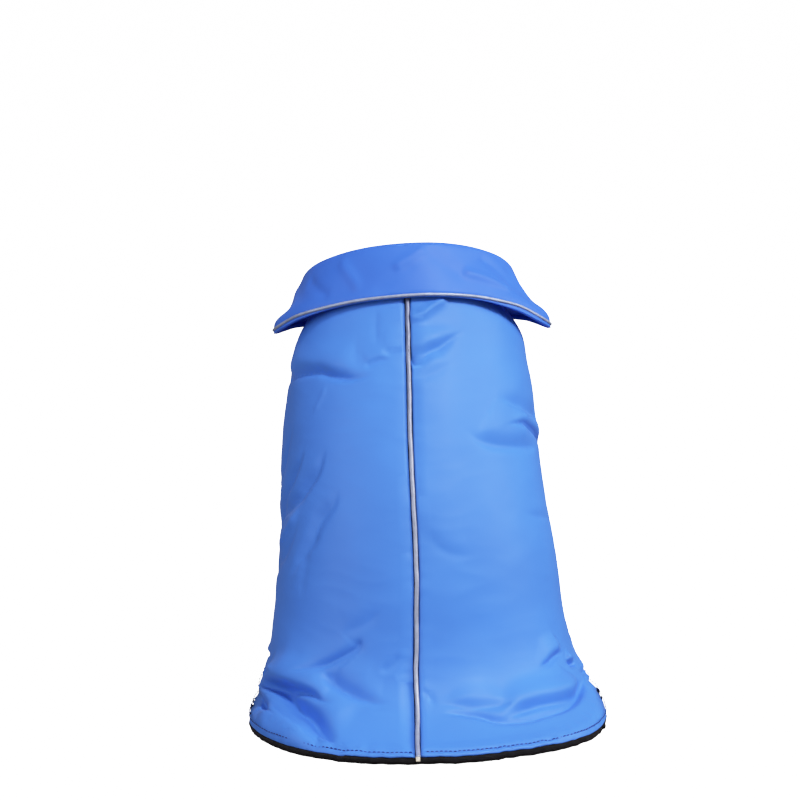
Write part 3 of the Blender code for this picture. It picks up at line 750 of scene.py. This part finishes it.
# ---- materials ----
class Nodes:
    """A small helper that adds and links a material's nodes."""

    def __init__(self, name, roughness, specular=0.5):
        self.material = bpy.data.materials.new(name)
        self.material.use_nodes = True
        self.tree = self.material.node_tree
        self.shader = self.tree.nodes["Principled BSDF"]
        self.shader.inputs["Roughness"].default_value = roughness
        self.shader.inputs["Specular IOR Level"].default_value = specular

    def put(self, socket, value):
        if isinstance(value, bpy.types.NodeSocket):
            self.tree.links.new(value, socket)
        else:
            socket.default_value = value

    def set(self, name, value):
        self.put(self.shader.inputs[name], value)

    def add(self, kind, values=None, **settings):
        node = self.tree.nodes.new(kind)
        for name, value in settings.items():
            setattr(node, name, value)
        for name, value in (values or {}).items():
            self.put(node.inputs[name], value)
        return node

    def math(self, operation, *values):
        node = self.add("ShaderNodeMath", operation=operation)
        for socket, value in zip(node.inputs, values):
            self.put(socket, value)
        return node.outputs[0]

    def place(self):
        return self.add("ShaderNodeTexCoord").outputs["Object"]

    def noise(self, place, scale, detail, roughness=0.5):
        values = {"Vector": place, "Scale": scale, "Detail": detail, "Roughness": roughness}
        return self.add("ShaderNodeTexNoise", values).outputs["Fac"]

    def ramp(self, factor, *stops):
        """A colour ramp between stops, each a position and a colour, or a grey."""
        node = self.add("ShaderNodeValToRGB", {"Fac": factor})
        for element, (position, colour) in zip(node.color_ramp.elements, stops):
            element.position = position
            element.color = (*colour, 1) if isinstance(colour, tuple) else (colour, colour, colour, 1)
        return node.outputs["Color"]

    def multiply(self, share, first, second):
        values = {"Fac": share, "Color1": first, "Color2": second}
        return self.add("ShaderNodeMixRGB", values, blend_type="MULTIPLY").outputs["Color"]

    def between(self, value, low, high, start=0.0, end=1.0):
        """From low to high as the value goes from start to end."""
        values = {"Value": value, "From Min": start, "From Max": end, "To Min": low, "To Max": high}
        return self.add("ShaderNodeMapRange", values).outputs["Result"]

    def bump(self, height, strength, distance):
        values = {"Strength": strength, "Distance": distance, "Height": height}
        self.set("Normal", self.add("ShaderNodeBump", values).outputs["Normal"])

    def sheen(self, weight, roughness, tint):
        self.set("Sheen Weight", weight)
        self.set("Sheen Roughness", roughness)
        self.set("Sheen Tint", (*tint, 1.0))


def blue_nylon(name, blue):
    """Plain weave of slubbed threads, a little uneven in its colour."""
    n = Nodes(name, 0.5, 0.22)
    uv = n.add("ShaderNodeUVMap", uv_map="cloth").outputs["UV"]
    threads = []
    for direction, scale in (("X", 520.0), ("Y", 560.0)):
        values = {"Vector": uv, "Scale": scale, "Distortion": 0.6, "Detail": 1.0, "Detail Scale": 1.5}
        wave = n.add("ShaderNodeTexWave", values, wave_type="BANDS", bands_direction=direction)
        threads.append(wave.outputs["Fac"])
    weave = n.math("MAXIMUM", *threads)
    slub = n.noise(uv, 170.0, 3.0, 0.6)
    deep = tuple(0.93 * c for c in blue)
    light = tuple(min(1.0, 1.05 * c) for c in blue)
    broad = n.ramp(n.noise(uv, 12.0, 2.0), (0.30, deep), (0.70, light))
    grain = n.ramp(weave, (0.20, (0.93, 0.93, 0.94)), (0.85, 1.0))
    n.set("Base Color", n.multiply(0.8, broad, grain))
    n.set("Roughness", n.between(slub, 0.44, 0.58))
    n.sheen(0.05, 0.35, (0.75, 0.86, 1.0))
    height = n.math("ADD", n.math("MULTIPLY", weave, 0.5), n.math("MULTIPLY", slub, 0.8))
    n.bump(height, 0.22, 0.00012)
    return n.material


def black_fleece():
    n = Nodes("fleece_black", 0.95, 0.08)
    place = n.place()
    pile = n.noise(place, 900.0, 4.0, 0.65)
    tufts = n.noise(place, 220.0, 3.0, 0.6)
    n.set("Base Color", n.ramp(tufts, (0.30, (0.002, 0.002, 0.003)), (0.75, (0.009, 0.008, 0.010))))
    n.sheen(0.06, 0.6, (0.60, 0.50, 0.50))
    n.bump(n.math("ADD", n.math("MULTIPLY", pile, 0.6), tufts), 0.7, 0.0009)
    return n.material


PIPING_SHADE_HEIGHTS = (-0.16, 0.02)  # heights between which painted shade darkens the piping towards its top colour


def grey_piping(name, light, high):
    """Reflective tape over a cord: fine beads, rubbed spots, painted shade towards `high` up the
    jacket.
    """
    n = Nodes(name, 0.40, 0.5)
    place = n.place()
    beads = n.add("ShaderNodeTexVoronoi", {"Vector": place, "Scale": 2600.0}).outputs["Distance"]
    rub = n.noise(place, 140.0, 4.0, 0.6)
    z = n.add("ShaderNodeSeparateXYZ", {"Vector": place}).outputs["Z"]
    # painted shade: the tape's colour darkens towards `high` as it goes up the jacket
    painted_shade_share = n.between(z, 0.0, 1.0, *PIPING_SHADE_HEIGHTS)
    tape = n.ramp(painted_shade_share, (0.0, light), (1.0, high))
    n.set("Base Color", n.multiply(1.0, tape, n.ramp(rub, (0.30, 0.68), (0.70, 1.0))))
    n.set("Metallic", 0.30)
    n.set("Roughness", n.between(rub, 0.34, 0.52))
    n.bump(beads, 0.25, 0.0001)
    return n.material


def thread_material(name, colour):
    n = Nodes(name, 0.55, 0.4)
    twist = n.noise(n.place(), 1800.0, 2.0)
    dark = tuple(0.7 * c for c in colour)
    n.set("Base Color", n.ramp(twist, (0.35, dark), (0.65, colour)))
    n.bump(twist, 0.4, 0.0001)
    return n.material


def tape_material():
    n = Nodes("tape_beige", 0.8, 0.3)
    values = {"Vector": n.place(), "Scale": 700.0, "Distortion": 1.0}
    weave = n.add("ShaderNodeTexWave", values).outputs["Fac"]
    n.set("Base Color", n.ramp(weave, (0.2, (0.48, 0.42, 0.33)), (0.8, (0.66, 0.60, 0.50))))
    n.bump(weave, 0.4, 0.0001)
    return n.material


NYLON = blue_nylon("nylon_blue", (0.062, 0.200, 0.740))
# the collar's copy of the nylon is a darker blue than the body's: painted shade
SHADED_COLLAR_NYLON = blue_nylon("nylon_blue_collar_shaded", (0.043, 0.145, 0.660))
FLEECE_BLACK = black_fleece()
# the back piping's second colour is painted shade, shown higher up the jacket
PIPING_GREY = grey_piping("piping_grey", (0.36, 0.39, 0.52), (0.15, 0.17, 0.28))
EDGE_GREY = grey_piping("piping_grey_collar", (0.34, 0.39, 0.56), (0.34, 0.39, 0.56))
THREAD_BLUE = thread_material("thread_blue", (0.010, 0.032, 0.150))
TAPE_BEIGE = tape_material()


# ---- the shell ----
FILLINGS = {side: filling(side) for side in SIDES}
NAMES = {1: "right", -1: "left"}


def make_shell(side):
    loop, points_inside = FILLINGS[side]
    places, faces = triangles(loop, [], points_inside)
    points, _ = skin(places, side)
    piece = new_object(f"shell_{NAMES[side]}", points, faces, NYLON, cloth_place(places))
    return finish_modifiers(thicken(piece, SHELL))


def make_stitches(side):
    """Topstitching along the finished edges: short rounded stitches lying in their groove."""
    line = FINISHED[side]
    row = moved(line.places, side, -STITCH_INSET)
    surface, normals = skin(row, side)
    along = lengths_along(surface)
    points = []
    faces = []
    bulge = np.sin(np.linspace(0, math.pi, STITCH_POINTS)) ** 0.5
    for start in np.arange(STITCH_START, along[-1] - STITCH_START, STITCH_PITCH):
        at = start + STITCH_LENGTH * np.linspace(0, 1, STITCH_POINTS)
        up = unit(at_lengths(at, along, normals))
        centres = at_lengths(at, along, surface) + up * (STITCH_LIFT * bulge)[:, None]
        radii = STITCH_RADIUS * np.maximum(bulge, 0.35)
        ring, sides = tube(centres, radii, up, sides=6)
        faces += [tuple(len(points) + i for i in face) for face in sides]
        points += ring.tolist()
    return new_object(f"stitches_{NAMES[side]}", points, faces, THREAD_BLUE)


def lining_points(side):
    """Every second of a half's inner points, and all of them in the deeper troughs."""
    places = FILLINGS[side][1]
    turn, down = from_pattern(places)
    depth = crease_height(form(turn, down), form_normals(turn, down))
    return places[(np.arange(len(places)) % 2 == 0) | (depth < LINING_TROUGH)]


def lining_skin(places):
    """The lining's surface at these pattern places of both halves, and the form's normals."""
    points = np.zeros((len(places), 3))
    normals = np.zeros((len(places), 3))
    for side in SIDES:
        mine = places[:, 0] * side >= 0
        points[mine], normals[mine] = skin(places[mine], side, edged=False)
    return points, normals


def make_lining():
    rows = {}
    for side in SIDES:
        edge = EDGES[side]
        share = neck_fade(-edge[:, 1])
        hem = soft_step(-edge[:, 1], HEM_RAMP, BACK_LENGTH)
        uneven = 1 + 0.25 * wander(edge, (0.012, 0.012), 21 + side)
        rows[side] = moved(edge, side, (LINING_REACH + HEM_INSET * hem) * share * uneven)
    outline = np.concatenate([rows[1], rows[-1][::-1]])
    inner = [FILLINGS[side][0] for side in SIDES]
    thinned = [lining_points(side) for side in SIDES]
    places, faces = triangles(outline, inner, np.concatenate(thinned))
    points, _ = lining_skin(places)
    shares = np.ones(len(places))
    for side in SIDES:
        mine = places[:, 0] * side >= 0
        apart, _ = FINISHED[side].nearest(form(*from_pattern(places[mine])))
        shares[mine] = 1 - PRESSED * soft_step(apart, *PRESS_RAMP)
    piece = new_object("fleece", points, faces, FLEECE_BLACK, cloth_place(places))
    layer = piece.modifiers.new("layer", "DISPLACE")
    layer.mid_level = 0
    layer.strength = -UNDER_SHELL
    return finish_modifiers(thicken(piece, FLEECE, shares=shares)), outline


# ---- the collar and the pipings ----
def collar_frame(turn):
    """At the neck seam: the seam's points, the outward direction and the neck's axis."""
    down = np.zeros_like(turn)
    seam = form(turn, down) - form_normals(turn, down) * SEAM_DEPTH
    tilt = math.radians(SECTIONS[0].tilt)
    axis = np.array([0, math.sin(tilt), math.cos(tilt)])
    out = unit(np.cross(np.gradient(seam, axis=0), axis))
    seam = seam - (seam @ axis)[:, None] * axis
    return seam, out, axis


def collar_rows(turn, stand_points=9, fold_points=15, fall_points=26, lip_points=4):
    """The collar's middle surface in rows from the neck seam to its free edge, its pattern
    lengths, the line where the piping lies, and which way the fall faces."""
    seam, out, axis = collar_frame(turn)
    stand, lean, fall, spread, lip = (smooth(COLLAR, "turn", name, turn)[:, None]
                                      for name in ("stand", "lean", "fall", "spread", "lip"))
    lean = np.radians(lean)
    spread = np.radians(spread)
    rising = axis * np.cos(lean) + out * np.sin(lean)
    sideways = out * np.cos(lean) - axis * np.sin(lean)
    foot = seam + axis * 0.0003
    rows = [foot + rising * stand * i / stand_points for i in range(stand_points)]
    lengths = [stand[:, 0] * i / stand_points for i in range(stand_points)]
    centre = foot + rising * stand + sideways * COLLAR_FOLD
    sweep = math.pi - spread - lean
    for i in range(fold_points):
        angle = sweep * i / (fold_points - 1)
        rows.append(centre - sideways * COLLAR_FOLD * np.cos(angle)
                    + rising * COLLAR_FOLD * np.sin(angle))
        lengths.append((stand + COLLAR_FOLD * angle)[:, 0])
    falling = out * np.sin(spread) - axis * np.cos(spread)
    facing = out * np.cos(spread) + axis * np.sin(spread)
    top = rows[-1]
    begin = lengths[-1]
    for i in range(1, fall_points + 1):
        t = 1 - (1 - i / fall_points) ** 1.6
        kick = collar_relief(turn, t)[:, None]
        rows.append(top + falling * fall * t + facing * kick)
        lengths.append(begin + fall[:, 0] * t)
    edge = rows[-1]
    for i in range(1, lip_points + 1):
        angle = math.radians(LIP_TURN) * i / lip_points
        step = lip / lip_points
        rows.append(rows[-1] + step * (falling * math.cos(angle) - facing * math.sin(angle)))
        lengths.append(lengths[-1] + step[:, 0])
    return np.array(rows), np.array(lengths), edge, facing


def collar_relief(turn, t):
    """How far the fall stands off its cone, by turn and by share of the way down it."""
    places = np.stack([turn / 24, np.full_like(turn, t * 1.4)], axis=1)
    waves = COLLAR_WAVES * wander(places, (1.0, 1.0), 31) * soft_step(t, 0.0, 0.4)
    side = bell(turn - SHOULDER_TURN, SHOULDER_WIDTH)
    side += LEFT_FLARE * bell(turn + SHOULDER_TURN, SHOULDER_WIDTH)
    roll = bell(t - FLARE_PLACE, FLARE_REACH)
    flare = side * (COLLAR_FLARE * roll - COLLAR_HOLLOW * math.sin(math.pi * t))
    creases = sum(collar_crease(crease, turn, t) for crease in COLLAR_CREASES)
    groove = COLLAR_GROOVE * bell(1 - t, 0.045)
    tuck = COLLAR_TUCK * bell(turn, 42) * soft_step(t, 0.3, 1.0)
    return waves + flare + creases - groove - tuck


def collar_crease(crease, turn, t):
    """A soft ridge, or a trough, along a straight run over the collar's fall."""
    run = np.array([(crease.to_turn - crease.turn) / COLLAR_SPREAD, crease.to_share - crease.share])
    offset = np.stack([(turn - crease.turn) / COLLAR_SPREAD,
                       np.full_like(turn, t - crease.share)], axis=1)
    part = np.clip(offset @ run / (run @ run), 0, 1)
    apart = norm(offset - part[:, None] * run, axis=1)
    return 0.001 * crease.height * bell(apart, crease.width)


def make_collar():
    turn = np.linspace(-COLLAR_END, COLLAR_END, COLLAR_COLUMNS)
    rows, lengths, _, _ = collar_rows(turn)
    count, stations = rows.shape[:2]
    round_length = lengths_along(rows[count // 2])
    uv = np.stack([np.broadcast_to(round_length, (count, stations)), lengths], axis=-1)
    piece = new_object("collar_cloth", rows.reshape(-1, 3), quads(count, stations), SHADED_COLLAR_NYLON,
                       uv.reshape(-1, 2))
    return finish_modifiers(thicken(piece, COLLAR_CLOTH, 0))


def make_back_piping():
    """The bead down the centre back: a little uneven, as tape sewn over a cord is."""
    downs = np.linspace(0.0010, BACK_LENGTH + 0.0006, BEAD_RINGS)
    turn = noise_at(BEAD_WOBBLE, downs[:, None]) / DEGREE_WIDTH
    places = np.stack([turn * DEGREE_WIDTH, -downs], axis=1)
    points = form(turn, downs)
    normals = form_normals(turn, downs)
    height = crease_height(points, normals) * neck_fade(downs)
    height += noise_at(SWELL, points) * neck_fade(downs)
    centres = points + normals * (height - BEAD_SINK)[:, None]
    radii = PIPING_RADIUS * (0.97 + 0.06 * wander(places, (0.010, 0.006), 43))
    ring, faces = tube(centres, radii, normals, sides=18, flatten=0.92)
    return new_object("bead_back", ring, faces, PIPING_GREY)


def make_tape_end():
    """The seam tape's cut end, sticking out below the bead at the hem."""
    turn = np.zeros(1)
    down = np.array([BACK_LENGTH])
    across, lengthways = (unit(step)[0] for step in form_steps(turn, down))
    normal = np.cross(lengthways, across)
    middle = form(turn, down)[0] + lengthways * TAPE_OUT - normal * TAPE_DEPTH
    half = (across * TAPE_WIDTH / 2, lengthways * TAPE_LENGTH / 2, normal * TAPE_THICK / 2)
    corners = [middle + sum(sign * step for sign, step in zip(signs, half))
               for signs in product((-1, 1), repeat=3)]
    faces = [(0, 1, 3, 2), (4, 6, 7, 5), (0, 4, 5, 1), (2, 3, 7, 6), (0, 2, 6, 4), (1, 5, 7, 3)]
    piece = new_object("tape_end", corners, faces, TAPE_BEIGE)
    edge = piece.modifiers.new("edge", "BEVEL")
    edge.width = TAPE_THICK / 3
    edge.segments = 3
    return finish_modifiers(piece)


def make_collar_piping():
    turn = np.linspace(-COLLAR_END, COLLAR_END, BEAD_RINGS)
    _, _, edge, facing = collar_rows(turn)
    centres = edge + facing * (COLLAR_CLOTH / 2 + EDGE_PIPING_RADIUS * 0.5)
    places = np.stack([turn / 40], axis=1)
    radii = EDGE_PIPING_RADIUS * (0.98 + 0.05 * wander(places, (0.2,), 45))
    ring, faces = tube(centres, radii, facing, sides=16)
    return new_object("bead_collar", ring, faces, EDGE_GREY)


def make_pile(outline):
    """Short fibres that stand out of the fleece all along its edge."""
    rng = np.random.default_rng(7)
    along = lengths_along(form(*from_pattern(outline)))
    count = int(along[-1] / FIBRE_PITCH)
    at = np.sort(rng.uniform(0.002, along[-1] - 0.002, count))
    place = at_lengths(at, along, outline)
    kept = place[:, 1] < -0.004
    place = place[kept]
    at = at[kept]
    count = len(place)
    turn, down = from_pattern(place)
    base, normals = lining_skin(place)
    across, lengthways = form_steps(turn, down)
    step = at_lengths(at + 0.001, along, outline) - at_lengths(at - 0.001, along, outline)
    ahead = unit(across * step[:, :1] - lengthways * step[:, 1:])
    outwards = unit(np.cross(ahead, normals))
    depth = rng.uniform(UNDER_SHELL + 0.0002, UNDER_SHELL + FLEECE - 0.0001, count)
    root = base - normals * depth[:, None] - outwards * 0.0003
    lean = rng.normal(0, 0.45, (count, 3))
    direction = unit(outwards + ahead * lean[:, :1] + normals * (lean[:, 1:2] - 0.2))
    length = rng.uniform(*FIBRE_LENGTH, count)
    tip = root + direction * length[:, None]
    side_a = ahead * FIBRE_RADIUS
    side_b = np.cross(direction, ahead) * FIBRE_RADIUS
    corners = np.stack([root + side_a, root - 0.5 * side_a + 0.87 * side_b,
                        root - 0.5 * side_a - 0.87 * side_b, tip], axis=1)
    first = np.arange(count)[:, None] * 4
    faces = np.concatenate([first + face for face in ((0, 1, 3), (1, 2, 3), (2, 0, 3), (2, 1, 0))])
    return new_object("fleece_pile", corners.reshape(-1, 3), faces, FLEECE_BLACK)


shells = {side: make_shell(side) for side in SIDES}
stitches = {side: make_stitches(side) for side in SIDES}
fleece, fleece_outline = make_lining()
collar = make_collar()
bead_back = make_back_piping()
bead_collar = make_collar_piping()
tape_end = make_tape_end()
pile = make_pile(fleece_outline)

for side, node in ((1, "body_right"), (-1, "body_left")):
    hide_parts(node)
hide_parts("lining")
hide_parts("collar")
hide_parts("piping_back")
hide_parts("piping_collar")
for piece in (*shells.values(), *stitches.values(), fleece, pile, collar, bead_back, bead_collar,
              tape_end):
    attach(piece, "root")


# ---- stage, light and camera ----
LIT_PLACE = Vector((0, -0.1, -0.12))
SKY_LIGHT = 0.22  # how strongly the surroundings light the jacket
SKY_SHOWN = 3.0  # how bright the camera sees them
WHITE_LEVEL = 3
TONES = ((0.10, 0.10), (0.25, 0.25), (0.45, 0.445), (0.70, 0.64), (0.95, 0.77), (1.25, 0.88),
         (1.70, 0.96), (2.30, 0.99))  # light, and how bright it shows
PICTURE_WIDTH = 800  # pixels
FOCAL_PIXELS = 2428.6
FILM_WIDTH = 36  # millimetres
EYE = Vector((0, -1.8273, 0.3060))
AIM = Vector((-0.0068, -0.1447, -0.0414))


def make_floor():
    size = 30.0
    low = min(vertex.co.z for vertex in fleece.data.vertices) - 0.0004
    mesh = bpy.data.meshes.new("floor")
    mesh.from_pydata([(-size, -size, low), (size, -size, low), (size, size, low), (-size, size, low)],
                     [], [(0, 1, 2, 3)])
    n = Nodes("floor_white", 0.8, 0.2)
    n.set("Base Color", (0.80, 0.80, 0.80, 1))
    n.set("Emission Color", (1, 1, 1, 1))
    n.set("Emission Strength", 2.4)
    mesh.materials.append(n.material)
    floor = place_object("floor", mesh)
    floor.visible_diffuse = False
    floor.visible_glossy = False


def add_light(name, place, size, power):
    data = bpy.data.lights.new(name, "AREA")
    data.shape = "SQUARE"
    data.size = size
    data.energy = power
    lamp = place_object(name, data)
    lamp.location = place
    lamp.rotation_euler = (LIT_PLACE - Vector(place)).to_track_quat("-Z", "Y").to_euler()


def tone_curve():
    """The camera's response: straight in the dark and rounded off towards white."""
    settings = bpy.context.scene.view_settings
    settings.view_transform = "Standard"
    settings.use_curve_mapping = True
    curve_map = settings.curve_mapping
    curve_map.white_level = (WHITE_LEVEL, WHITE_LEVEL, WHITE_LEVEL)
    line = curve_map.curves[3]
    for light, shown in TONES:
        line.points.new(light / WHITE_LEVEL, shown)
    curve_map.update()


def light_scene():
    world = bpy.data.worlds.new("studio")
    world.use_nodes = True
    background = world.node_tree.nodes["Background"]
    background.inputs["Color"].default_value = (1, 1, 1, 1)
    nodes = world.node_tree.nodes
    links = world.node_tree.links
    seen = nodes.new("ShaderNodeLightPath").outputs["Is Camera Ray"]
    strength = nodes.new("ShaderNodeMapRange")
    strength.inputs["To Min"].default_value = SKY_LIGHT
    strength.inputs["To Max"].default_value = SKY_SHOWN
    links.new(seen, strength.inputs["Value"])
    links.new(strength.outputs["Result"], background.inputs["Strength"])
    bpy.context.scene.world = world
    add_light("key", (1.00, -1.50, 1.80), 0.5, 66)
    add_light("side", (1.9, -0.5, 0.8), 1.0, 32)
    add_light("fill", (-1.6, -1.3, 0.6), 1.2, 19)
    top = bpy.data.lights.new("top", "SUN")
    top.energy = 0.2
    top.angle = math.radians(50)
    place_object("top", top).rotation_euler = (math.radians(-20), math.radians(12), 0)
    tone_curve()


def add_camera():
    """Straight behind the wearer, 20 degrees above, rolled a little, 1.7 m from the hem."""
    camera = bpy.data.cameras.new("camera")
    camera.sensor_width = FILM_WIDTH
    camera.lens = FILM_WIDTH * FOCAL_PIXELS / PICTURE_WIDTH
    camera.clip_end = 100
    turned = (AIM - EYE).to_track_quat("-Z", "Y").to_matrix()
    roll = Matrix.Rotation(math.radians(-1.4), 3, "Z")
    holder = place_object("camera", camera)
    holder.matrix_world = Matrix.Translation(EYE) @ (turned @ roll).to_4x4()
    bpy.context.scene.camera = holder


make_floor()
light_scene()
add_camera()
